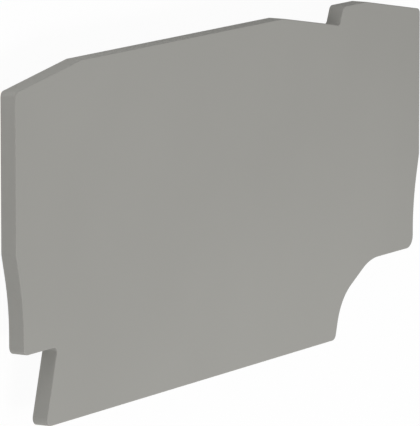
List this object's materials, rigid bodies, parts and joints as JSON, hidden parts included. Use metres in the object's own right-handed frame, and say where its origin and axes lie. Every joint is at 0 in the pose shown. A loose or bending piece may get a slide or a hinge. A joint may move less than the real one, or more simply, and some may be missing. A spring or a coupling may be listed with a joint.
{
  "type": "terminal block end cover",
  "caption": "Flat grey moulded plate with a stepped outline, rounded outer edge and short pegs, which closes the open side of a rail-mounted terminal block.",
  "frame": {"origin": "under the middle of the plate's bounding box, level with the tips of the pegs that it rests on", "axes": "+X along the plate's length, towards the side with the step and the latch recess; +Y from the rail edge to the top edge; +Z out of the plain outer face"},
  "size_m": [0.071, 0.0312, 0.0037],
  "materials": {
    "moulded_plastic": "grey moulded polyamide with a fine, faintly glossy mould texture"
  },
  "bodies": {
    "root": {"end_cover": "moulded_plastic"}
  },
  "joints": []
}
